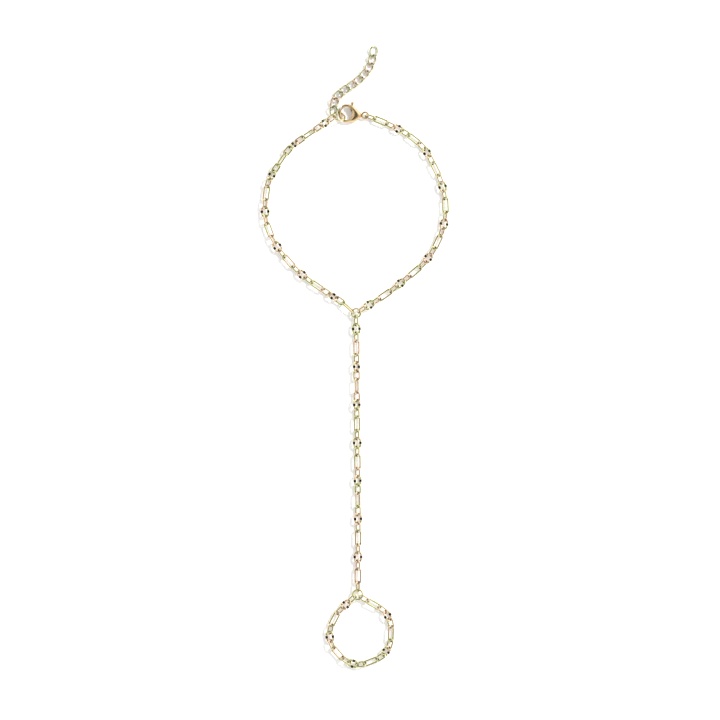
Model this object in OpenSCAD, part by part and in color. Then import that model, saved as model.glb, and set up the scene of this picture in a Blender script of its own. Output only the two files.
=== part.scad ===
// Hand chain: a wrist chain with a lobster clasp and an extender, a chain that
// runs down over the back of the hand, and a finger loop at its end.
// It lies flat on a surface at z = 0. +Y points to the extender, +Z is up.

/* [Layout] */
// Length over everything as it lies, from the finger loop to the extender's last link
laid_len = 181; // [176:1:190]

/* [Chain links] */
// Wire thickness of the plain links
wire_d = 0.54; // [0.48:0.01:0.6]
// Inside width of the plain links
link_in_w = 1.02; // [0.94:0.02:1.2]
// Inside length of a short link
short_in = 2.52; // [2.36:0.02:2.76]
// Inside length of a long link
long_in = 4.06; // [3.56:0.02:4.56]
// Wire thickness of the faceted link
facet_wire_d = 0.6; // [0.54:0.01:0.66]
// Inside width of the faceted link
facet_in_w = 1.26; // [1.12:0.02:1.42]
// Inside length of the faceted link
facet_in = 2.52; // [2.38:0.02:2.74]
// How deep each flat facet is cut into the wire
facet_cut = 0.13; // [0.06:0.01:0.16]
// Slope of each flat facet from level
facet_slope = 18; // [14:1:40]
// Angle between the planes of neighbouring links
crossing = 84; // [80:1:90]
// Clearance between two links that hold each other
link_gap = 0.17; // [0.15:0.01:0.22]
// Clearance of the links that lie loose in the clasp's ring
loose_gap = 0.34; // [0.28:0.02:0.4]

/* [Extender] */
// Number of curb links
curb_count = 10; // [6:1:11]
// Wire thickness of a curb link
curb_wire_d = 0.5; // [0.44:0.01:0.56]
// Outside length of a curb link
curb_len = 3.62; // [3.52:0.02:3.82]
// Outside width of a curb link
curb_w = 2.72; // [2.6:0.02:2.9]
// How far the wire of a curb link rises and falls as it goes round
curb_twist = 0.48; // [0.42:0.01:0.54]

/* [Jump rings] */
// Wire thickness of the jump rings
ring_d = 0.54; // [0.48:0.01:0.6]
// Outside diameter of the ring where three chains meet
wrist_ring_od = 3.2; // [3.0:0.05:3.5]
// Outside diameter of the ring at the finger loop
finger_ring_od = 3.4; // [3.2:0.05:3.7]
// Outside diameter of the ring that the clasp hooks
clasp_ring_od = 4.1; // [4.0:0.05:4.3]
// Lean of the ring that the clasp hooks, from level
clasp_ring_lean = 46; // [44:1:48]

/* [Clasp] */
// Length of the clasp's round opening, along the clasp
hole_len = 3.0; // [2.8:0.1:3.2]
// Width of the clasp's round opening, across the clasp
hole_w = 3.8; // [3.6:0.1:4.0]
// Thickness of the round hook and lever arm
hook_w = 0.78; // [0.7:0.02:0.84]
// Height of the clasp's body
body_t = 2.2; // [2.1:0.05:2.4]
// Distance from the opening's centre to the tail eye's centre
tail_len = 5.45; // [5.2:0.05:5.7]
// Outside diameter of the tail eye
eye_od = 2.3; // [2.2:0.05:2.5]
// Wire thickness of the tail eye
eye_d = 0.5; // [0.44:0.02:0.56]
// Height of the lever at its rivet
lever_t = 0.8; // [0.7:0.02:0.9]
// Clearance on each side of the lever in its slot
slot_gap = 0.1; // [0.06:0.01:0.14]
// Clearance between the lever's tip and the hook's nose
tip_gap = 0.12; // [0.1:0.01:0.2]
// Diameter of the rivet that the lever turns on
rivet_d = 0.6; // [0.5:0.02:0.7]
// Radial clearance of the lever on its rivet
rivet_fit = 0.03; // [0.02:0.01:0.05]
// Radial clearance of the rivet in the body
rivet_seat = 0.01; // [0.01:0.005:0.02]
// Wall of the lever round its rivet
hub_wall = 0.5; // [0.4:0.02:0.56]
// Diameter of the knob that the thumb pulls
knob_d = 0.9; // [0.7:0.05:1.1]

/* [Hidden] */
gold = "#d9c48a";
clasp_gold = "#cfa874";

// Places on the surface where the rings and the clasp lie, chosen by hand for a length
// of 181, and moved in or out with it.
laid_scale = laid_len / 181;
wrist_ring_at = laid_scale * [0.3, 12.7];
finger_ring_at = laid_scale * [0.8, -68.9];
clasp_at = laid_scale * [-2.5, 70.7];
clasp_turn = -2;
wrist_ring_lean = 12;
finger_ring_lean = 12;

// Routes of the chains between the rings, chosen by hand for a length of 181.
routes = [
    ["left", [[-9.4, 67.4], [-13.6, 64.6], [-18.3, 61.1], [-22.0, 56.2], [-25.0, 51.0],
        [-26.0, 45.4], [-25.9, 40.0], [-23.8, 34.1], [-20.0, 28.6], [-14.9, 23.5],
        [-8.4, 18.9], [-3.6, 15.8]]],
    ["right", [[7.7, 68.4], [14.2, 65.3], [19.7, 61.0], [22.6, 56.2], [24.8, 51.4],
        [26.2, 45.6], [26.0, 39.3], [23.9, 33.2], [20.0, 27.2], [12.8, 21.1],
        [8.3, 17.7], [3.6, 14.8]]],
    ["hand", [[0.4, 6.0], [0.5, -12.0], [0.7, -30.0], [0.9, -50.0], [0.8, -62.0]]],
    ["finger", [[5.1, -71.6], [8.8, -73.9], [10.3, -77.3], [10.5, -81.6], [8.8, -85.9],
        [5.0, -88.3], [0.3, -89.3], [-4.2, -87.0], [-6.7, -83.5], [-7.4, -79.4],
        [-5.2, -74.5], [-2.6, -71.8]]],
    ["extender", [[-6.2, 73.4], [-5.2, 75.8], [-2.8, 77.7], [0.9, 80.2], [4.2, 84.0],
        [5.4, 88.2], [5.8, 92.0]]]
];

// Roll of the flat links along each chain: share of the chain, degrees.
rolls = [
    ["left", [[0, -29], [0.05, -23], [0.15, -51], [0.28, -55], [0.42, -8], [0.6, 4],
        [0.8, 10], [1, 74]]],
    ["right", [[0, 0], [0.12, 18], [0.3, 24], [0.45, 0], [0.6, -22], [0.75, -12],
        [1, 0]]],
    ["hand", [[0, 0], [0.08, 8], [0.16, 34], [0.24, 64], [0.32, 40], [0.44, 6],
        [0.54, 10], [0.66, 50], [0.74, 22], [0.86, 0], [1, 0]]],
    ["finger", [[0, 21], [0.2, 35], [0.45, 21], [0.65, 10], [0.8, 17], [1, 24]]]
];

// Links that come before the first long one; then long, short, faceted, short repeat.
leads = [["left", 3], ["right", 1], ["hand", 3], ["finger", 1]];
// Whether a chain has an even number of links, 0, or an odd one, 1. It sets which kind of
// link ends the chain, and so whether that link stands across its ring.
parities = [["left", 0], ["right", 1], ["hand", 1], ["finger", 1]];

function of_name(table, name) = table[search([name], table)[0]][1];
function unit(v) = v / norm(v);
function sum(v, i = 0) = i < len(v) ? v[i] + sum(v, i + 1) : 0;

// Sizes of the three kinds of link: outside length, outside width, wire.
LONG = 0;
SHORT = 1;
FACET = 2;
function outside(length, width, wire) = [length + 2 * wire, width + 2 * wire, wire];
link_size = [outside(long_in, link_in_w, wire_d), outside(short_in, link_in_w, wire_d),
    outside(facet_in, facet_in_w, facet_wire_d)];
function kind_at(i, lead) = let (k = (i - lead + 40) % 4)
    k == 0 ? LONG : k == 2 ? FACET : SHORT;
// A link reaches from one meeting point to the next, half a gap inside each end.
function link_span(kind) = link_size[kind][0] - 2 * link_size[kind][2] - link_gap;

// Height of the chain's axis at which the lower side of its links just clears z = 0.
lie_gap = 0.05;
function rest_z(roll) = lie_gap + max(
    wire_d / 2 + (link_in_w + wire_d) / 2 * abs(sin(roll + crossing)),
    facet_wire_d / 2 + (facet_in_w + facet_wire_d) / 2 * abs(sin(roll)));

function route(name) = laid_scale * of_name(routes, name);

// Smooth curve through points: Catmull-Rom, with the end points doubled.
curve_steps = 10;
function curve_point(a, b, c, d, t) = 0.5 * (2 * b + (c - a) * t
    + (2 * a - 5 * b + 4 * c - d) * t * t + (3 * b - a - 3 * c + d) * t * t * t);
function curve(pts) = let (n = len(pts)) [
    for (i = [0 : n - 2]) for (k = [0 : curve_steps - (i < n - 2 ? 1 : 0)])
        curve_point(pts[max(i - 1, 0)], pts[i], pts[i + 1], pts[min(i + 2, n - 1)],
            k / curve_steps)];
function running(pts, i = 0, s = 0) = i == len(pts) - 1 ? [s]
    : concat([s], running(pts, i + 1, s + norm(pts[i + 1] - pts[i])));
function along(pts) = let (s = running(pts)) [
    [for (i = [0 : len(s) - 1]) [s[i], pts[i][0]]],
    [for (i = [0 : len(s) - 1]) [s[i], pts[i][1]]],
    s[len(s) - 1]];
function at(path, s) = [lookup(s, path[0]), lookup(s, path[1])];

// The fewest links that reach along the route, with each pulled a little past its span.
stretch = 0.03;
function spans_up_to(n, lead) = sum([for (i = [0 : n - 1]) link_span(kind_at(i, lead))]);
function enough(length, lead, n) = spans_up_to(n, lead) + n * stretch >= length ? n
    : enough(length, lead, n + 2);

// Share of a ring's height that the chain still has, by the number of links from it.
end_lift = [[0, 1], [1, 0.6], [2, 0.28], [3, 0.08], [4, 0]];

// Meeting points of a chain's links, from the ring at its start to the one at its end.
function meets(name, from, to) = let (
        path = along(curve(concat([[from[0], from[1]]], route(name), [[to[0], to[1]]]))),
        lead = of_name(leads, name),
        n = enough(path[2], lead, of_name(parities, name) + 2),
        slack = (path[2] - spans_up_to(n, lead)) / n,
        stops = concat([0], [for (k = [1 : n]) spans_up_to(k, lead) + k * slack]))
    [for (k = [0 : n]) let (p = at(path, stops[k]),
            z = rest_z(lookup(stops[k] / path[2], of_name(rolls, name))))
        [p[0], p[1], z + (from[2] - z) * lookup(k, end_lift)
            + (to[2] - z) * lookup(n - k, end_lift)]];

// Frame of a link between two meeting points: x along it, z square to its plane.
module between(a, b, roll) {
    x = unit(b - a);
    side = unit(cross([0, 0, 1], x));
    up = cross(x, side);
    z = up * cos(roll) + side * sin(roll);
    y = cross(z, x);
    c = (a + b) / 2;
    multmatrix([[x[0], y[0], z[0], c[0]], [x[1], y[1], z[1], c[1]],
        [x[2], y[2], z[2], c[2]]]) children();
}

// Plain oval link: two half rings joined face to face by two straight wires.
module oval_link(length, width, wire) {
    r = (width - wire) / 2;
    half = (length - width) / 2;
    for (turn = [0, 180]) rotate([0, 0, turn]) {
        translate([half, 0, 0]) rotate([0, 0, -90])
            rotate_extrude(angle = 180, $fn = 48) translate([r, 0]) circle(d = wire, $fn = 32);
        translate([-half, r, 0]) rotate([0, 90, 0]) cylinder(d = wire, h = 2 * half, $fn = 32);
    }
}

// Oval link with a flat facet on the upper and lower edge of both sides.
module faceted_link(length, width, wire) {
    r = (width - wire) / 2;
    reach = r * sin(facet_slope) + wire / 2 - facet_cut;
    difference() {
        oval_link(length, width, wire);
        for (side = [-1, 1], face = [0, 180]) rotate([face + side * facet_slope, 0, 0])
            translate([-length, -width, reach]) cube([2 * length, 2 * width, width]);
    }
}

module link(kind) {
    s = link_size[kind];
    if (kind == FACET) faceted_link(s[0], s[1], s[2]);
    else oval_link(s[0], s[1], s[2]);
}

module chain(name, from, to) {
    p = meets(name, from, to);
    n = len(p) - 1;
    lead = of_name(leads, name);
    for (i = [0 : n - 1]) {
        kind = kind_at(i, lead);
        flat = lookup((i + 0.5) / n, of_name(rolls, name));
        color(gold) between(p[i], p[i + 1], kind == SHORT ? flat + crossing : flat)
            link(kind);
    }
}

// A ring lies in the plane of the directions u and w. A chain holds it at an angle
// measured from u towards w, and leaves towards the nearest point of its route.
function ring_wire(centre, u, w, od, wire, angle) =
    centre + (od - wire) / 2 * (u * cos(angle) + w * sin(angle));
function leaving(from, to, level) = let (run = norm([to[0] - from[0], to[1] - from[1]]))
    unit([(to[0] - from[0]) / run, (to[1] - from[1]) / run,
        (level - from[2]) / link_span(SHORT)]);
// Point where they meet: half a gap inside the ring's wire, seen from the chain.
function meet(held, wire, to, level, gap = link_gap) =
    held - leaving(held, to, level) * (wire / 2 + gap - link_gap / 2);
function first_of(name) = route(name)[0];
function last_of(name) = let (r = route(name)) r[len(r) - 1];
module round_ring(centre, u, w, od, wire) {
    n = cross(u, w);
    color(gold) multmatrix([[u[0], w[0], n[0], centre[0]], [u[1], w[1], n[1], centre[1]],
        [u[2], w[2], n[2], centre[2]]])
        rotate_extrude($fn = 64) translate([(od - wire) / 2, 0]) circle(d = wire, $fn = 32);
}

// Ring where the three chains meet, leaning to one side about Y.
chain_z = rest_z(0);
wrist_u = [cos(wrist_ring_lean), 0, sin(wrist_ring_lean)];
wrist_w = [0, 1, 0];
wrist_ring_c = [wrist_ring_at[0], wrist_ring_at[1],
    chain_z + sin(wrist_ring_lean) * wrist_ring_od / 3];
function wrist_meet(angle, to) = meet(ring_wire(wrist_ring_c, wrist_u, wrist_w,
    wrist_ring_od, ring_d, angle), ring_d, to, chain_z);

// Ring at the finger loop, leaning about X.
finger_u = [1, 0, 0];
finger_w = [0, cos(finger_ring_lean), -sin(finger_ring_lean)];
finger_ring_c = [finger_ring_at[0], finger_ring_at[1],
    chain_z + sin(finger_ring_lean) * finger_ring_od / 3];
function finger_meet(angle, to) = meet(ring_wire(finger_ring_c, finger_u, finger_w,
    finger_ring_od, ring_d, angle), ring_d, to, chain_z);

// Clasp frame: x to the tail, y to the lever's side, z up, centre of the opening at 0.
clasp_z = body_t / 2;
function clasp_point(p) = [
    clasp_at[0] + p[0] * cos(clasp_turn) - p[1] * sin(clasp_turn),
    clasp_at[1] + p[0] * sin(clasp_turn) + p[1] * cos(clasp_turn), clasp_z];
module on_clasp() {
    translate([clasp_at[0], clasp_at[1], clasp_z]) rotate([0, 0, clasp_turn]) children();
}
hole_r = hole_len / 2;
hole_rise = (hole_w - hole_len) / 2;
outer_r = hole_r + hook_w;
half_w = hole_w / 2 + hook_w;
eye_at = [tail_len, -0.35];
rivet_at = [hole_r + rivet_d / 2 + hub_wall - 0.35, hole_rise + 0.75];
hub_r = rivet_d / 2 + hub_wall;
tip_r = rivet_at[0] + hole_r - 0.06;

// Ring that the hook holds: it goes round the hook's left bar and leans over it.
clasp_ring_r = (clasp_ring_od - ring_d) / 2;
clasp_ring_off = [-0.3, -1.0];
clasp_ring_c = let (p = clasp_point([-hole_r - hook_w / 2, 0] + clasp_ring_off))
    [p[0], p[1], clasp_ring_r * sin(clasp_ring_lean) + ring_d / 2];
clasp_ring_turn = -16;
clasp_ring_u = [-cos(clasp_ring_turn), -sin(clasp_ring_turn), 0];
clasp_ring_w = [-sin(clasp_ring_turn) * cos(clasp_ring_lean),
    cos(clasp_ring_turn) * cos(clasp_ring_lean), -sin(clasp_ring_lean)];
function clasp_ring_meet(angle, to, level) = meet(ring_wire(clasp_ring_c, clasp_ring_u,
    clasp_ring_w, clasp_ring_od, ring_d, angle), ring_d, to, level, loose_gap);

// Angles round the rings at which the chains leave.
left_leaves = -35;
extender_leaves = 23;
eye_leaves = -22;
wrist_left_angle = 150;
wrist_right_angle = 30;
hand_top_angle = -90;
hand_foot_angle = 90;
finger_out_angle = -34;
finger_back_angle = -146;
eye_c = clasp_point(eye_at);
left_from = clasp_ring_meet(left_leaves, first_of("left"), chain_z);
right_from = meet(ring_wire(eye_c, [1, 0, 0], [0, 1, 0], eye_od, eye_d, eye_leaves), eye_d,
    first_of("right"), chain_z);

module wrist_chain_left() {
    chain("left", left_from, wrist_meet(wrist_left_angle, last_of("left")));
}
module wrist_chain_right() {
    chain("right", right_from, wrist_meet(wrist_right_angle, last_of("right")));
}
module hand_chain() {
    chain("hand", wrist_meet(hand_top_angle, first_of("hand")),
        finger_meet(hand_foot_angle, last_of("hand")));
}
module finger_chain() {
    chain("finger", finger_meet(finger_out_angle, first_of("finger")),
        finger_meet(finger_back_angle, last_of("finger")));
}

// Curb link: its wire rises and falls twice as it goes round, so links lie flat.
curb_sides = 6;
curb_rings = 16;
curb_a = (curb_len - curb_wire_d) / 2;
curb_b = (curb_w - curb_wire_d) / 2;
curb_span = curb_len - 2 * curb_wire_d - link_gap;
curb_z = curb_twist + curb_wire_d / 2;
function curb_centre(t) = [curb_a * cos(t), curb_b * sin(t), curb_twist * sin(2 * t)];
function curb_along(t) = unit([-curb_a * sin(t), curb_b * cos(t),
    2 * curb_twist * cos(2 * t)]);
function curb_ring(t) = let (x = curb_along(t), side = unit(cross(x, [0, 0, 1])),
        up = cross(side, x))
    [for (k = [0 : curb_sides - 1]) let (q = 360 * k / curb_sides)
        curb_centre(t) + curb_wire_d / 2 * (side * cos(q) + up * sin(q))];
module curb_link() {
    points = [for (i = [0 : curb_rings - 1]) each curb_ring(360 * i / curb_rings)];
    faces = [for (i = [0 : curb_rings - 1], k = [0 : curb_sides - 1]) let (
            a = i * curb_sides, b = ((i + 1) % curb_rings) * curb_sides,
            j = (k + 1) % curb_sides)
        each [[a + k, a + j, b + k], [a + j, b + j, b + k]]];
    polyhedron(points, faces);
}
extender_from = clasp_ring_meet(extender_leaves, first_of("extender"), curb_z);
extender_path = along(curve(concat([[extender_from[0], extender_from[1]]],
    route("extender"))));
function extender_point(k) = let (p = at(extender_path, k * curb_span))
    [p[0], p[1], curb_z + (extender_from[2] - curb_z) * lookup(k, end_lift)];
module extender_chain() {
    for (i = [0 : curb_count - 1]) color(gold)
        between(extender_point(i), extender_point(i + 1), 0) curb_link();
}

// Outline round the opening, a given distance outside its edge.
module round_outline(out) {
    for (side = [-1, 1]) translate([0, side * hole_rise]) circle(r = hole_r + out, $fn = 72);
    square([2 * (hole_r + out), 2 * hole_rise], center = true);
}
// Body from the hook to the tail, without the opening. It stands a little proud of the
// hook's bar on both sides.
shoulder = 0.05;
module body_outline() {
    difference() {
        union() {
            round_outline(hook_w + shoulder);
            polygon([[0, half_w], [1.6, half_w - 0.2], [tail_len - 0.95, 0.1],
                [tail_len - 0.85, -0.8], [2.7, -half_w + 0.35], [0, -half_w]]);
        }
        round_outline(-shoulder);
    }
}
// Round bar that runs once round the opening.
module hook_loop() {
    rotate([0, 0, 90]) oval_link(hole_w + 2 * hook_w, hole_len + 2 * hook_w, hook_w);
}
// The lever's share of that bar: above the opening, out to a given reach from the rivet.
module lever_side(reach) {
    translate([0, 0, -hook_w]) linear_extrude(2 * hook_w) intersection() {
        translate([-outer_r - 1, hole_rise + 0.1]) square([outer_r + 1 + rivet_at[0], half_w]);
        translate(rivet_at) circle(r = reach, $fn = 96);
    }
}
cheek_x = rivet_at[0] - hub_r - 0.12;
module clasp_body() {
    color(clasp_gold) on_clasp() difference() {
        union() {
            difference() {
                hook_loop();
                lever_side(tip_r + tip_gap);
            }
            translate([0, 0, -body_t / 2]) linear_extrude(body_t) intersection() {
                body_outline();
                translate([cheek_x, -half_w]) square([tail_len, 2 * half_w + 1]);
            }
            translate(eye_at) rotate_extrude($fn = 64)
                translate([(eye_od - eye_d) / 2, 0]) circle(d = eye_d, $fn = 32);
        }
        // Slot for the lever, open above and to the opening.
        translate([0, 0, -lever_t / 2 - slot_gap]) linear_extrude(lever_t + 2 * slot_gap)
            union() {
                translate(rivet_at) circle(r = hub_r + slot_gap, $fn = 64);
                translate([cheek_x - 1, rivet_at[1]])
                    square([rivet_at[0] - cheek_x + 1 + hub_r + slot_gap, half_w]);
            }
        translate([rivet_at[0], rivet_at[1], -body_t]) cylinder(
            r = rivet_d / 2 + rivet_seat, h = 2 * body_t, $fn = 48);
    }
}

knob_x = rivet_at[0] - 0.3;
knob_rise = half_w + 0.35;
module clasp_lever() {
    color(clasp_gold) on_clasp() difference() {
        union() {
            intersection() {
                hook_loop();
                lever_side(tip_r);
            }
            translate([rivet_at[0], rivet_at[1], -lever_t / 2])
                cylinder(r = hub_r, h = lever_t, $fn = 64);
            translate([knob_x, knob_rise, 0]) sphere(d = knob_d, $fn = 48);
            translate([knob_x, rivet_at[1] + hub_r / 2, 0]) rotate([-90, 0, 0])
                cylinder(d = knob_d * 0.7, h = knob_rise - rivet_at[1] - hub_r / 2, $fn = 48);
        }
        translate([rivet_at[0], rivet_at[1], -lever_t]) cylinder(
            r = rivet_d / 2 + rivet_fit, h = 2 * lever_t, $fn = 48);
    }
}

module clasp_rivet() {
    color(gold) on_clasp() translate([rivet_at[0], rivet_at[1], -body_t / 2])
        cylinder(d = rivet_d, h = body_t, $fn = 48);
}

module clasp_ring() {
    round_ring(clasp_ring_c, clasp_ring_u, clasp_ring_w, clasp_ring_od, ring_d);
}
module wrist_ring() {
    round_ring(wrist_ring_c, wrist_u, wrist_w, wrist_ring_od, ring_d);
}
module finger_ring() {
    round_ring(finger_ring_c, finger_u, finger_w, finger_ring_od, ring_d);
}

wrist_chain_left();
wrist_chain_right();
hand_chain();
finger_chain();
extender_chain();
clasp_body();
clasp_lever();
clasp_rivet();
clasp_ring();
wrist_ring();
finger_ring();
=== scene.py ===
"""A pale gold hand chain lying flat on a white table, seen from straight above.

The links keep the places of the CAD links, but the short ones lie flatter. Each chain is
rebuilt as one mesh of rounder, slightly hammered links, with flat bright-cut facets on every
fourth link.
"""
import math
import random
import bpy
import numpy as np
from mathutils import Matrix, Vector


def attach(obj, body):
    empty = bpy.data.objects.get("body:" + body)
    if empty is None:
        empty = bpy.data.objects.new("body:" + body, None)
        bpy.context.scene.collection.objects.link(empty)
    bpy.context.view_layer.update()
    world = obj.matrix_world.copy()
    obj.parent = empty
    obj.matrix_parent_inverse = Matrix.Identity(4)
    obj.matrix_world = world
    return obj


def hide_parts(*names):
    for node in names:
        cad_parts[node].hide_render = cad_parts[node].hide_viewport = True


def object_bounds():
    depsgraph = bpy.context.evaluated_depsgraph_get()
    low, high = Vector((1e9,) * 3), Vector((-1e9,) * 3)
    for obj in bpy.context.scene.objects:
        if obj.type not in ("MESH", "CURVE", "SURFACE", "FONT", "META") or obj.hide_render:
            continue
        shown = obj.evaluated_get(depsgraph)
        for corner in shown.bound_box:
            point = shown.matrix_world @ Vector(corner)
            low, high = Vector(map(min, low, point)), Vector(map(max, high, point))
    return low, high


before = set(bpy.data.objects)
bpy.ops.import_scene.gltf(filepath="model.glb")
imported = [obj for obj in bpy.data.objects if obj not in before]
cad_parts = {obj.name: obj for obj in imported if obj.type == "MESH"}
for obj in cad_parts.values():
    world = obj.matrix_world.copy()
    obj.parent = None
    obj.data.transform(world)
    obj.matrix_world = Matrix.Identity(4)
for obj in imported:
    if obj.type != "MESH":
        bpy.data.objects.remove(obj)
cad_low, cad_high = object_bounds()
MM = 0.001
UP = np.array([0.0, 0.0, 1.0])
ROOT = "hand_chain_body"


# Reading the places of the loose links

def merged_points(mesh):
    """Corner points with doubles joined, and the triangles between them."""
    points = np.empty(len(mesh.vertices) * 3)
    mesh.vertices.foreach_get("co", points)
    points = points.reshape(-1, 3)
    _, first, joined = np.unique(np.round(points, 7), axis=0, return_index=True,
                                 return_inverse=True)
    mesh.calc_loop_triangles()
    tris = np.empty(len(mesh.loop_triangles) * 3, dtype=np.int64)
    mesh.loop_triangles.foreach_get("vertices", tris)
    return points[first], joined.reshape(-1)[tris].reshape(-1, 3)


def loose_solids(node):
    """The triangles of each loose solid of a CAD node, as arrays of corner points."""
    points, tris = merged_points(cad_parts[node].data)
    label = np.arange(len(points))
    while True:
        low = label[tris].min(axis=1)
        new = label.copy()
        for k in range(3):
            np.minimum.at(new, tris[:, k], low)
        new = new[new]
        if (new == label).all():
            break
        label = new
    of_tri = label[tris[:, 0]]
    return [points[tris[of_tri == v]] for v in np.unique(of_tri)]


def link_frame(tris):
    """Centre, three unit axes (long, across, thin) and the sizes of one solid along them."""
    mid = tris.mean(axis=1)
    area = np.linalg.norm(np.cross(tris[:, 1] - tris[:, 0], tris[:, 2] - tris[:, 0]), axis=1)
    centre = (mid * area[:, None]).sum(axis=0) / area.sum()
    away = mid - centre
    _, axes = np.linalg.eigh((away * area[:, None]).T @ away)
    x = axes[:, 2]
    z = axes[:, 0]
    if z[2] < 0:
        z = -z
    basis = np.array([x, np.cross(z, x), z])
    spread = (tris.reshape(-1, 3) - centre) @ basis.T
    low = spread.min(axis=0)
    high = spread.max(axis=0)
    return centre + ((low + high) / 2) @ basis, basis, high - low


# Meshes

def add_object(name, points, faces, material, body, replaced):
    """A shown piece made of points in metres, that stands for a CAD node."""
    mesh = bpy.data.meshes.new(name)
    mesh.from_pydata([tuple(p) for p in points], [], faces)
    mesh.shade_smooth()
    piece = bpy.data.objects.new(name, mesh)
    bpy.context.scene.collection.objects.link(piece)
    mesh.materials.append(material)
    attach(piece, body)
    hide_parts(replaced)
    return piece


def swept_ring(path, section):
    """Points and faces of a closed bar. path holds its places, outward and upward directions,
    and section holds one rim for each place."""
    points = []
    for place, out, up, rim in zip(*path, section):
        points.extend(place + a * out + b * up for a, b in rim)
    rings = len(path[0])
    sides = len(section[0])
    faces = []
    for i in range(rings):
        j = (i + 1) % rings
        for k in range(sides):
            m = (k + 1) % sides
            faces.append((i * sides + k, j * sides + k, j * sides + m, i * sides + m))
    return np.array(points), faces


# Links, with all their sizes in millimetres

LONG = "long"
SHORT = "short"
FACET = "faceted"
CURB = "curb"
# Length, width and wire of the oval links, as in the construction.
OVALS = {LONG: (5.14, 2.1, 0.54), SHORT: (3.6, 2.1, 0.54), FACET: (3.72, 2.46, 0.6)}
# How near a CAD link's length and width have to be for it to be of a kind.
LENGTH_NEAR = 0.3
WIDTH_NEAR = 0.08
# The curb link's length, width, wire and how far the wire rises and falls, as in the
# construction, and how much fuller it is shown, into the play between its links.
CURB_LEN = 3.62
CURB_W = 2.72
CURB_WIRE_D = 0.5
CURB_TWIST = 0.48
CURB_FULL = 0.06
# Rims along a link, corners of a rim, and steps across a facet.
RINGS = 72
SIDES = 28
FLAT_STEPS = 4
# The wire's broad and fine unevenness, and how much it is pressed, as shares of its size.
HAMMER_BROAD = 0.012
HAMMER_FINE = 0.008
WIRE_FLAT = 0.02
# The facets are cut with the chain lying flat, so they face up whatever the link's roll.
# How far each leans outward, the angles it stays between, how far its plane is from the
# wire's middle, half the length it is cut over, and how much the wire swells there.
FACET_LEAN = math.radians(3)
FACET_TOP_LOW = math.radians(25)
FACET_TOP_HIGH = math.radians(135)
FACET_PLANE = 0.16
FACET_HALF = 0.56
FACET_SWELL = 0.1
# Beyond a facet's ends its plane is this share of the wire's radius from the middle.
FACET_END = 0.998
# How far a short link may turn about its length, in degrees, the angles tried on each side,
# how far it may shift, the gap it keeps, and how far it may go under the lowest CAD point.
LEAN_LOW = 30
LEAN_HIGH = 44
LEAN_TRIES = 12
LEAN_SHIFT = 0.08
LEAN_GAP = 0.02
LEAN_UNDER = 0.01
# The least angle between faces, in degrees, that shows as an edge.
LINK_EDGE = 32


def stadium(length, width, wire):
    """Centre line of an oval link: its places and their outward directions."""
    r = (width - wire) / 2
    straight = length - width
    half = straight / 2
    total = 2 * (straight + math.pi * r)
    places = []
    outs = []
    for i in range(RINGS):
        s = (i + 0.5) / RINGS * total
        side = 1
        if s >= total / 2:
            s -= total / 2
            side = -1
        if s < straight:
            place = np.array([half - s, r, 0.0])
            out = np.array([0.0, 1.0, 0.0])
        else:
            a = math.pi / 2 + (s - straight) / r
            out = np.array([math.cos(a), math.sin(a), 0.0])
            place = np.array([-half, 0.0, 0.0]) + r * out
        places.append(side * place)
        outs.append(side * out)
    return places, outs


def wire_rim(radius, sides, flat=0.0):
    """Rim of a round wire, as (outward, up) pairs; flat presses its upper and lower side."""
    rim = []
    for k in range(sides):
        a = 2 * math.pi * k / sides
        rim.append((radius * math.cos(a), radius * math.sin(a) * (1 - flat)))
    return rim


def cut_rim(radius, top, plane):
    """Rim of a wire with two flats: one faces the angle top, the other the opposite way, and
    plane is how far each is from the middle. The flats' edges are corners of the rim."""
    half = math.acos(min(plane / radius, FACET_END))
    flat = min(plane, radius)
    around = SIDES // 2 - FLAT_STEPS
    rim = []
    for side in (0, math.pi):
        c = math.cos(top + side)
        s = math.sin(top + side)
        for k in range(FLAT_STEPS):
            y = flat * math.tan(half) * (2 * k / FLAT_STEPS - 1)
            rim.append((flat * c - y * s, flat * s + y * c))
        for k in range(around):
            a = top + side + half + (math.pi - 2 * half) * k / around
            rim.append((radius * math.cos(a), radius * math.sin(a)))
    return rim


def oval_link(length, width, wire, rng, roll):
    """Points and faces of an oval link about its own centre. roll is None for a plain link,
    and for a faceted one the angle from its own upward side to the real one, towards its y
    side."""
    places, outs = stadium(length, width, wire)
    radius = wire / 2
    section = []
    swell = rng.uniform(0, 2 * math.pi)
    for i in range(RINGS):
        turn = 2 * math.pi * i / RINGS
        r = radius * (1 + HAMMER_BROAD * math.sin(3 * turn + swell)
                      + HAMMER_FINE * math.sin(7 * turn - swell))
        r = min(r, radius)
        if roll is None:
            section.append(wire_rim(r, SIDES, WIRE_FLAT))
            continue
        # The wire swells gently, and the plane stays level over most of the facet.
        along = abs(places[i][0]) / FACET_HALF
        r = r + (radius + FACET_SWELL - r) * max(1 - along ** 2, 0)
        plane = r + (FACET_PLANE - r) * max(1 - along ** 6, 0)
        side = 1 if outs[i][1] > 0 else -1
        top = math.pi / 2 - side * roll - FACET_LEAN
        top = min(max(top, FACET_TOP_LOW), FACET_TOP_HIGH)
        section.append(cut_rim(r, top, plane))
    return swept_ring((places, outs, [UP] * RINGS), section)


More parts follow.
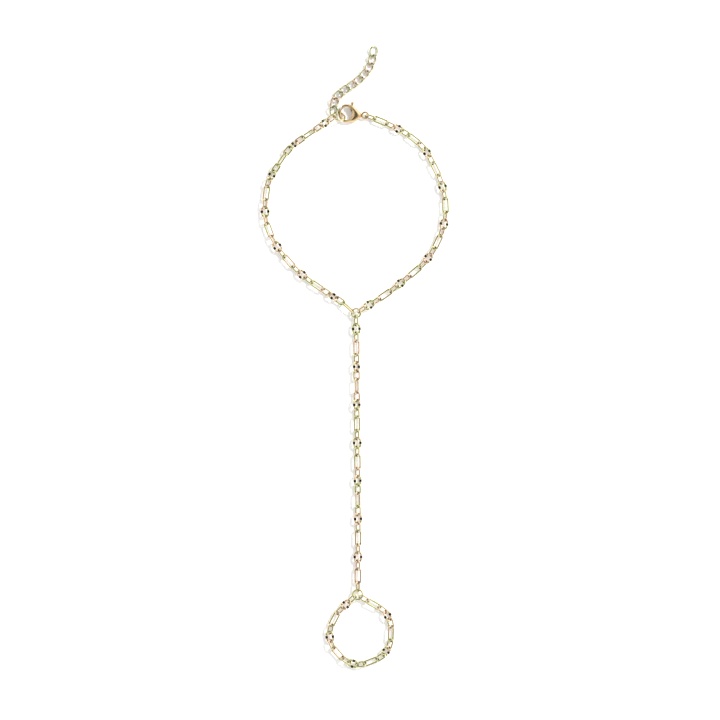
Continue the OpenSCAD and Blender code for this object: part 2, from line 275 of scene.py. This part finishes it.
def curb_link():
    """Points and faces of a curb link, whose wire rises and falls twice as it goes round."""
    a = (CURB_LEN - CURB_WIRE_D) / 2
    b = (CURB_W - CURB_WIRE_D) / 2
    places = []
    outs = []
    ups = []
    for i in range(RINGS):
        t = 2 * math.pi * i / RINGS
        places.append(np.array([a * math.cos(t), b * math.sin(t), CURB_TWIST * math.sin(2 * t)]))
        along = np.array([-a * math.sin(t), b * math.cos(t), 2 * CURB_TWIST * math.cos(2 * t)])
        along /= np.linalg.norm(along)
        out = np.cross(along, UP)
        out /= np.linalg.norm(out)
        outs.append(out)
        ups.append(np.cross(out, along))
    rim = wire_rim((CURB_WIRE_D + CURB_FULL) / 2, SIDES)
    return swept_ring((places, outs, ups), [rim] * RINGS)


def link_kind(size):
    """The kind of an oval link, from its sizes in metres."""
    if abs(size[0] / MM - OVALS[LONG][0]) < LENGTH_NEAR:
        return LONG
    return FACET if abs(size[1] / MM - OVALS[FACET][1]) < WIDTH_NEAR else SHORT


def link_shape(kind, basis, rng):
    """Points and faces of a link of one kind."""
    if kind == CURB:
        return curb_link()
    roll = math.atan2(basis[1][2], basis[2][2]) if kind == FACET else None
    return oval_link(*OVALS[kind], rng, roll)


def rolled(basis, degrees):
    """A link's axes turned about its long one."""
    x, y, z = basis
    a = math.radians(degrees)
    return np.array([x, y * math.cos(a) + z * math.sin(a), z * math.cos(a) - y * math.sin(a)])


def link_line(centre, basis, size):
    """Centre line of an oval link in its place, and the radius of its wire."""
    length, width, wire = OVALS[link_kind(size)]
    places, _ = stadium(length, width, wire)
    return centre / MM + np.array(places) @ basis, wire / 2


def gap_between(one, other):
    """The gap between the wires of two links, each given by its link_line."""
    apart = np.linalg.norm(one[0][:, None] - other[0][None], axis=2)
    return apart.min() - one[1] - other[1]


def leaning(frames, number, rng):
    """Centre and axes of a short link, laid as flat as the two links that hold it allow."""
    centre, basis, size = frames[number]
    near = sorted((np.linalg.norm(frames[k][0] - centre), k) for k in range(len(frames)))
    lines = [link_line(*frames[k]) for _, k in near[1:3]]
    floor = cad_low[2] / MM - LEAN_UNDER
    most = rng.uniform(LEAN_LOW, LEAN_HIGH)
    options = [rolled(basis, most * k / LEAN_TRIES) for k in range(-LEAN_TRIES, LEAN_TRIES + 1)]
    options.sort(key=lambda option: -abs(option[2][2]))
    shifts = [(0, 0), (LEAN_SHIFT, 0), (-LEAN_SHIFT, 0), (0, LEAN_SHIFT), (0, -LEAN_SHIFT)]
    for option in options:
        for across, up in shifts:
            moved = centre + (across * option[1] + up * option[2]) * MM
            own = link_line(moved, option, size)
            lowest = own[0][:, 2].min() - own[1]
            if lowest > floor and min(gap_between(own, line) for line in lines) > LEAN_GAP:
                return moved, option
    return centre, basis


def chain(node, material, seed=0, curb=False):
    """All the links of one CAD chain, as one mesh. A curb chain draws nothing at random."""
    rng = random.Random(seed)
    frames = [link_frame(solid) for solid in loose_solids(node)]
    all_points = []
    all_faces = []
    count = 0
    for number, (centre, basis, size) in enumerate(frames):
        kind = CURB if curb else link_kind(size)
        if kind == SHORT:
            centre, basis = leaning(frames, number, rng)
        points, faces = link_shape(kind, basis, rng)
        all_points.append(centre + points * MM @ basis)
        all_faces.extend(tuple(v + count for v in face) for face in faces)
        count += len(points)
    piece = add_object(node + "_links", np.concatenate(all_points), all_faces,
                       material, ROOT, node)
    piece.data.set_sharp_from_angle(angle=math.radians(LINK_EDGE))


# The clasp, in its own frame in millimetres: x to the tail, y to the lever's side, z up, with
# the centre of the opening at 0. Angles round the opening are in degrees.

CLASP_AT = (-2.5, 70.7, 1.1)
CLASP_TURN = math.radians(-2)
HOLE_R = 1.5
HOLE_RISE = 0.4
HOOK_W = 0.78
HALF_T = 1.1
TEARDROP = [(0, 2.68), (1.6, 2.48), (4.5, 0.1), (4.6, -0.8), (2.7, -2.33), (0, -2.68)]
# The body runs from its heel beside the lever, round the tail, to the tip of the hook, and
# thins to the hook between two angles. Its outline is evened out over a small angle.
HEEL_ANGLE = 66
TIP_ANGLE = -219
THIN_ANGLE = -98
THICK_ANGLE = -52
EVEN_ANGLE = math.radians(7)
# Rims along the body and corners of a rim.
BODY_RINGS = 150
SECTION = 72
# How far the first rims are closed at the heel. The tip's last rims close along an ellipse.
HEEL_SHRINK = (0.9, 0.965, 0.99)
TIP_RINGS = 9
TIP_REACH = 8.4
TIP_LEAST = 0.02
# A rounded lip goes round the opening on the body's side, with a groove beyond it.
LIP_W = 0.42
GROOVE_HALF = 0.13
GROOVE_DEPTH = 0.13
RIVET_AT = (1.95, 1.15)
RIVET_R = 0.3
RIVET_HALF = 1.07
RIVET_DOME = 0.09
RIVET_TIP_R = 0.004
DOME_STEPS = 8
BORE_R = 0.31
BORE_HALF = 2
ROUND_STEPS = 32
# The lever's slot is round under the rivet, and open towards the opening and upwards.
SLOT_R = 0.9
SLOT_HALF = 0.5
SLOT_REACH = 1.02
SLOT_RISE = 3.46
SLOT_STEPS = 24
EYE_AT = (5.45, -0.35)
EYE_R = 0.9
EYE_WIRE = 0.25
EYE_RINGS = 64
EYE_SIDES = 20
CLASP_EDGE = 40


def stadium_reach(angle, r):
    """How far an upright stadium of radius r reaches from the centre in a direction."""
    c = math.cos(angle)
    s = abs(math.sin(angle))
    flat = r / abs(c) if abs(c) > 1e-6 else 1e6
    if flat * s < HOLE_RISE:
        return flat
    return HOLE_RISE * s + math.sqrt(r * r - (HOLE_RISE * c) ** 2)


def body_reach(angle):
    """How far the outline of the body reaches from the centre in a direction."""
    c = math.cos(angle)
    s = math.sin(angle)
    best = stadium_reach(angle, HOLE_R + HOOK_W)
    for (ax, ay), (bx, by) in zip(TEARDROP, TEARDROP[1:]):
        det = c * (ay - by) - s * (ax - bx)
        if abs(det) < 1e-9:
            continue
        t = (ax * (ay - by) - ay * (ax - bx)) / det
        u = (c * ay - s * ax) / det
        if t > 0 and 0 <= u <= 1:
            best = max(best, t)
    return best


def smooth_step(value, low, high):
    """0 up to low, 1 from high on, and smooth between them."""
    t = min(max((value - low) / (high - low), 0.0), 1.0)
    return t * t * (3 - 2 * t)


def end_shrink(ring):
    """How far the body's rims are closed near its two ends, from 0 to 1 where open."""
    if ring < len(HEEL_SHRINK):
        return HEEL_SHRINK[ring]
    past = ring - (BODY_RINGS - TIP_RINGS)
    if past <= 0:
        return 1.0
    return math.sqrt(max(1 - (past / TIP_REACH) ** 2, TIP_LEAST))


def body_section(angle, shrink):
    """Rim of the hook or body in one direction, as points."""
    inner = stadium_reach(angle, HOLE_R)
    outer = sum(body_reach(angle + k * EVEN_ANGLE) for k in (-1, 0, 1)) / 3
    thick = smooth_step(math.degrees(angle), THIN_ANGLE, THICK_ANGLE)
    half = (HOOK_W / 2) * (1 - thick) + HALF_T * thick
    mid = (inner + outer) / 2
    wide = (outer - inner) / 2
    points = []
    for k in range(SECTION):
        a = 2 * math.pi * k / SECTION
        c = math.cos(a)
        reach = mid + wide * shrink * c
        off = (wide * (1 + c) - LIP_W) / GROOVE_HALF
        dip = 1 - GROOVE_DEPTH * thick * math.exp(-off * off)
        points.append((reach * math.cos(angle), reach * math.sin(angle),
                       half * shrink * math.sin(a) * dip))
    return points


def round_rivet(radius, angle):
    """A point on a circle round the rivet's middle."""
    return RIVET_AT[0] + radius * math.cos(angle), RIVET_AT[1] + radius * math.sin(angle)


def solid_mesh(name, points, faces):
    """A working solid, which isn't a piece of its own."""
    mesh = bpy.data.meshes.new(name)
    mesh.from_pydata(points, [], faces)
    solid = bpy.data.objects.new(name, mesh)
    bpy.context.scene.collection.objects.link(solid)
    return solid


def upright(name, outline, low, high):
    """An outline raised from low to high."""
    n = len(outline)
    points = [(x, y, low) for x, y in outline] + [(x, y, high) for x, y in outline]
    faces = [tuple(reversed(range(n))), tuple(range(n, 2 * n))]
    faces += [(i, (i + 1) % n, n + (i + 1) % n, n + i) for i in range(n)]
    return solid_mesh(name, points, faces)


def cut(solid, cutter):
    """Takes the cutter out of a solid, and deletes the cutter."""
    step = solid.modifiers.new("cut", "BOOLEAN")
    step.operation = "DIFFERENCE"
    step.solver = "EXACT"
    step.object = cutter
    done = bpy.data.meshes.new_from_object(
        solid.evaluated_get(bpy.context.evaluated_depsgraph_get()))
    solid.modifiers.clear()
    solid.data = done
    bpy.data.objects.remove(cutter)


def clasp_place(points):
    """Points in the clasp's own frame, put where the clasp lies."""
    c = math.cos(CLASP_TURN)
    s = math.sin(CLASP_TURN)
    return (points @ np.array([[c, s, 0], [-s, c, 0], [0, 0, 1]]) + np.array(CLASP_AT)) * MM


def eye_path():
    """Places, outward and upward directions round the tail's eye."""
    places = []
    outs = []
    for i in range(EYE_RINGS):
        a = 2 * math.pi * i / EYE_RINGS
        out = np.array([math.cos(a), math.sin(a), 0.0])
        places.append(np.array([EYE_AT[0], EYE_AT[1], 0.0]) + EYE_R * out)
        outs.append(out)
    return places, outs, [UP] * EYE_RINGS


def body_shape():
    """Hook and domed body as one bar that swells to the tail, without slot and bore."""
    points = []
    for i in range(BODY_RINGS):
        share = i / (BODY_RINGS - 1)
        angle = math.radians(HEEL_ANGLE + (TIP_ANGLE - HEEL_ANGLE) * share)
        points.extend(body_section(angle, end_shrink(i)))
    faces = []
    for i in range(BODY_RINGS - 1):
        for k in range(SECTION):
            m = (k + 1) % SECTION
            faces.append((i * SECTION + k, (i + 1) * SECTION + k, (i + 1) * SECTION + m,
                          i * SECTION + m))
    faces.append(tuple(reversed(range(SECTION))))
    faces.append(tuple(range((BODY_RINGS - 1) * SECTION, BODY_RINGS * SECTION)))
    return solid_mesh("clasp_body_shape", points, faces)


def clasp_body(material):
    """The clasp's body with the lever's slot, the rivet's bore and the tail's eye."""
    solid = body_shape()
    rx, ry = RIVET_AT
    left = rx - SLOT_R - SLOT_REACH
    top = ry + SLOT_RISE
    outline = [(left, ry)]
    outline += [round_rivet(SLOT_R, math.pi + math.pi * k / SLOT_STEPS)
                for k in range(SLOT_STEPS + 1)]
    outline += [(rx + SLOT_R, top), (left, top)]
    cut(solid, upright("slot_cutter", outline, -SLOT_HALF, SLOT_HALF))
    bore = [round_rivet(BORE_R, 2 * math.pi * k / ROUND_STEPS) for k in range(ROUND_STEPS)]
    cut(solid, upright("bore_cutter", bore, -BORE_HALF, BORE_HALF))
    body_points = [tuple(v.co) for v in solid.data.vertices]
    body_faces = [tuple(f.vertices) for f in solid.data.polygons]
    bpy.data.objects.remove(solid)
    eye_points, eye_faces = swept_ring(eye_path(), [wire_rim(EYE_WIRE, EYE_SIDES)] * EYE_RINGS)
    start = len(body_points)
    points = np.array(body_points + [tuple(p) for p in eye_points])
    faces = body_faces + [tuple(v + start for v in face) for face in eye_faces]
    shown = add_object("clasp_body_shell", clasp_place(points), faces,
                       material, ROOT, "clasp_body")
    shown.data.set_sharp_from_angle(angle=math.radians(CLASP_EDGE))


def rivet(material):
    """A round pin with domed heads that end flush with the clasp's body."""
    profile = [(RIVET_R, RIVET_HALF - RIVET_DOME)]
    for k in range(1, DOME_STEPS):
        a = math.pi / 2 * k / DOME_STEPS
        profile.append((RIVET_R * math.cos(a), RIVET_HALF - RIVET_DOME * (1 - math.sin(a))))
    profile.append((RIVET_TIP_R, RIVET_HALF))
    profile = [(r, -z) for r, z in reversed(profile)] + profile
    n = ROUND_STEPS
    points = []
    for r, z in profile:
        points.extend((*round_rivet(r, 2 * math.pi * k / n), z) for k in range(n))
    faces = []
    for i in range(len(profile) - 1):
        for k in range(n):
            m = (k + 1) % n
            faces.append((i * n + k, i * n + m, (i + 1) * n + m, (i + 1) * n + k))
    faces.append(tuple(reversed(range(n))))
    faces.append(tuple(range(len(points) - n, len(points))))
    add_object("clasp_rivet_pin", clasp_place(np.array(points)), faces, material,
               ROOT, "clasp_rivet")


# Materials

# The tones run from olive through pale to rosy gold, in patches of about a link's size.
CHAIN_TONES = ((0.65, 0.65, 0.35), (0.74, 0.67, 0.41), (0.81, 0.64, 0.47))
CURB_TONES = ((0.58, 0.61, 0.38), (0.67, 0.60, 0.41), (0.72, 0.58, 0.44))
CLASP_TONES = ((0.63, 0.48, 0.24), (0.67, 0.49, 0.26), (0.70, 0.51, 0.29))
CHAIN_ROUGH = (0.10, 0.22)
CLASP_ROUGH = (0.27, 0.33)
DRIFT_SCALE = 330.0
DRIFT_STOPS = (0.4, 0.5, 0.6)
# Fine wear changes the roughness, and the surface a little.
WEAR_SCALE = 4200.0
WEAR_LOW = 0.35
WEAR_HIGH = 0.65
BUMP_STRENGTH = 0.05
BUMP_DEPTH = 0.00002
# Painted shade between links: how far away a neighbour still darkens the colour in a crevice,
# the openness where the painted shade is darkest and where it ends, and its dark brown tone.
CREVICE_SAMPLES = 12
CREVICE_REACH = 0.0007
CREVICE_LOW = 0.36
CREVICE_HIGH = 0.76
CREVICE_SHADE_TONE = (0.20, 0.10, 0.04)


def new_material(name):
    """A material with its nodes and links."""
    material = bpy.data.materials.new(name)
    material.use_nodes = True
    return material, material.node_tree.nodes, material.node_tree.links


def put(node, values):
    """Sets a node's own sockets."""
    for socket, value in values.items():
        node.inputs[socket].default_value = value


def gold(name, tones, roughness):
    """Plating with a mirror polish: close tones that drift from link to link, with fine wear,
    and painted shade, a dark brown base colour where links meet and shade falls."""
    material, nodes, links = new_material(name)
    shader = nodes["Principled BSDF"]
    put(shader, {"Metallic": 1.0})
    place = nodes.new("ShaderNodeTexCoord")
    drift = nodes.new("ShaderNodeTexNoise")
    put(drift, {"Scale": DRIFT_SCALE, "Detail": 1.0})
    links.new(place.outputs["Object"], drift.inputs["Vector"])
    tone = nodes.new("ShaderNodeValToRGB")
    stops = tone.color_ramp.elements
    stops[0].position = DRIFT_STOPS[0]
    stops[0].color = (*tones[0], 1)
    stops[1].position = DRIFT_STOPS[2]
    stops[1].color = (*tones[2], 1)
    middle = stops.new(DRIFT_STOPS[1])
    middle.color = (*tones[1], 1)
    links.new(drift.outputs["Fac"], tone.inputs["Fac"])
    # Painted shade: the ambient occlusion node finds how open each point is, and closed points
    # get a dark brown base colour.
    openness = nodes.new("ShaderNodeAmbientOcclusion")
    openness.samples = CREVICE_SAMPLES
    put(openness, {"Distance": CREVICE_REACH})
    unshaded_share = nodes.new("ShaderNodeMapRange")
    put(unshaded_share, {"From Min": CREVICE_LOW, "From Max": CREVICE_HIGH})
    links.new(openness.outputs["AO"], unshaded_share.inputs["Value"])
    painted_shade = nodes.new("ShaderNodeMix")
    painted_shade.data_type = "RGBA"
    put(painted_shade, {"A": (*CREVICE_SHADE_TONE, 1)})
    links.new(unshaded_share.outputs["Result"], painted_shade.inputs["Factor"])
    links.new(tone.outputs["Color"], painted_shade.inputs["B"])
    links.new(painted_shade.outputs["Result"], shader.inputs["Base Color"])
    wear = nodes.new("ShaderNodeTexNoise")
    put(wear, {"Scale": WEAR_SCALE, "Detail": 2.0})
    links.new(place.outputs["Object"], wear.inputs["Vector"])
    rough = nodes.new("ShaderNodeMapRange")
    put(rough, {"From Min": WEAR_LOW, "From Max": WEAR_HIGH,
                "To Min": roughness[0], "To Max": roughness[1]})
    links.new(wear.outputs["Fac"], rough.inputs["Value"])
    links.new(rough.outputs["Result"], shader.inputs["Roughness"])
    bump = nodes.new("ShaderNodeBump")
    put(bump, {"Strength": BUMP_STRENGTH, "Distance": BUMP_DEPTH})
    links.new(wear.outputs["Fac"], bump.inputs["Height"])
    links.new(bump.outputs["Normal"], shader.inputs["Normal"])
    return material


# Table, light and camera

TABLE_HALF = 1.2
TABLE_TONE = 0.92
TABLE_ROUGH = 0.8
TABLE_GLOW = 0.23
# Brightness of the walls by the sine of the height above the horizon.
WALLS = ((0.0, 1.2), (0.56, 1.2), (0.74, 0.56), (0.92, 0.03), (1.0, 0.01))
# The lamp casts the shadows. The window is the same light as the metal mirrors it: its
# brightness, and the cosine of the angle from its middle at which it ends.
KEY_AT = (0.6, 0.42, 0.66)
KEY_SIZE = 0.09
KEY_POWER = 9.0
WINDOW = 1.5
WINDOW_EDGE = 0.8
# The camera's place in millimetres is over the photograph's middle, and it sees 208.8 mm.
CAMERA_AT = (1.45, -0.87, 581.5)
CAMERA_LENS = 100
CAMERA_SENSOR = 36
CAMERA_NEAR = 0.01


def table():
    """A plain white table top, far wider than the view."""
    half = TABLE_HALF
    mesh = bpy.data.meshes.new("table_top")
    mesh.from_pydata([(-half, -half, 0), (half, -half, 0), (half, half, 0), (-half, half, 0)],
                     [], [(0, 1, 2, 3)])
    top = bpy.data.objects.new("table_top", mesh)
    bpy.context.scene.collection.objects.link(top)
    material, nodes, _ = new_material("white_table")
    put(nodes["Principled BSDF"], {"Base Color": (TABLE_TONE, TABLE_TONE, TABLE_TONE, 1),
                                   "Roughness": TABLE_ROUGH,
                                   "Emission Color": (1, 1, 1, 1),
                                   "Emission Strength": TABLE_GLOW})
    mesh.materials.append(material)


def soft_light(name, place, aim, size, power):
    """A round lamp that metal doesn't mirror."""
    light = bpy.data.lights.new(name, "AREA")
    light.shape = "DISK"
    light.size = size
    light.energy = power
    lamp = bpy.data.objects.new(name, light)
    lamp.location = place
    lamp.rotation_euler = (Vector(aim) - Vector(place)).to_track_quat("-Z", "Y").to_euler()
    lamp.visible_glossy = False
    bpy.context.scene.collection.objects.link(lamp)


def studio_world():
    """Dark overhead, where the camera stands, with white walls below and a soft window."""
    world = bpy.data.worlds.new("studio")
    bpy.context.scene.world = world
    world.use_nodes = True
    nodes = world.node_tree.nodes
    links = world.node_tree.links
    place = nodes.new("ShaderNodeTexCoord")
    split = nodes.new("ShaderNodeSeparateXYZ")
    links.new(place.outputs["Generated"], split.inputs["Vector"])
    tone = nodes.new("ShaderNodeValToRGB")
    stops = tone.color_ramp.elements
    for position, _ in WALLS[1:-1]:
        stops.new(position)
    for stop, (position, level) in zip(stops, WALLS):
        stop.position = position
        stop.color = (level, level, level, 1)
    links.new(split.outputs["Z"], tone.inputs["Fac"])
    facing = nodes.new("ShaderNodeVectorMath")
    facing.operation = "DOT_PRODUCT"
    facing.inputs[1].default_value = Vector(KEY_AT).normalized()
    links.new(place.outputs["Generated"], facing.inputs[0])
    window = nodes.new("ShaderNodeMapRange")
    window.interpolation_type = "SMOOTHSTEP"
    put(window, {"From Min": WINDOW_EDGE, "From Max": 1.0, "To Max": WINDOW})
    links.new(facing.outputs["Value"], window.inputs["Value"])
    both = nodes.new("ShaderNodeMix")
    both.data_type = "RGBA"
    both.blend_type = "ADD"
    put(both, {"Factor": 1.0})
    links.new(tone.outputs["Color"], both.inputs["A"])
    links.new(window.outputs["Result"], both.inputs["B"])
    links.new(both.outputs["Result"], nodes["Background"].inputs["Color"])


def camera():
    """Straight above the table, looking down."""
    lens = bpy.data.cameras.new("camera")
    lens.lens = CAMERA_LENS
    lens.sensor_width = CAMERA_SENSOR
    lens.clip_start = CAMERA_NEAR
    stand = bpy.data.objects.new("camera", lens)
    stand.location = Vector(CAMERA_AT) * MM
    bpy.context.scene.collection.objects.link(stand)
    bpy.context.scene.camera = stand


# Making everything

chain_gold = gold("pale_gold", CHAIN_TONES, CHAIN_ROUGH)
clasp_gold = gold("warm_gold", CLASP_TONES, CLASP_ROUGH)
curb_gold = gold("rosy_gold", CURB_TONES, CHAIN_ROUGH)

chain("wrist_chain_left", chain_gold, 11)
chain("wrist_chain_right", chain_gold, 12)
chain("hand_chain", chain_gold, 13)
chain("finger_chain", chain_gold, 14)
chain("extender_chain", curb_gold, curb=True)
clasp_body(clasp_gold)
rivet(clasp_gold)

# These keep their CAD shapes.
for node, material in (("clasp_ring", chain_gold), ("wrist_ring", chain_gold),
                       ("finger_ring", chain_gold), ("clasp_lever", clasp_gold)):
    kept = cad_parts[node].data.materials
    kept.clear()
    kept.append(material)

table()
studio_world()
soft_light("key", KEY_AT, (0, 0, 0), KEY_SIZE, KEY_POWER)
camera()
bpy.context.scene.view_settings.view_transform = "Standard"
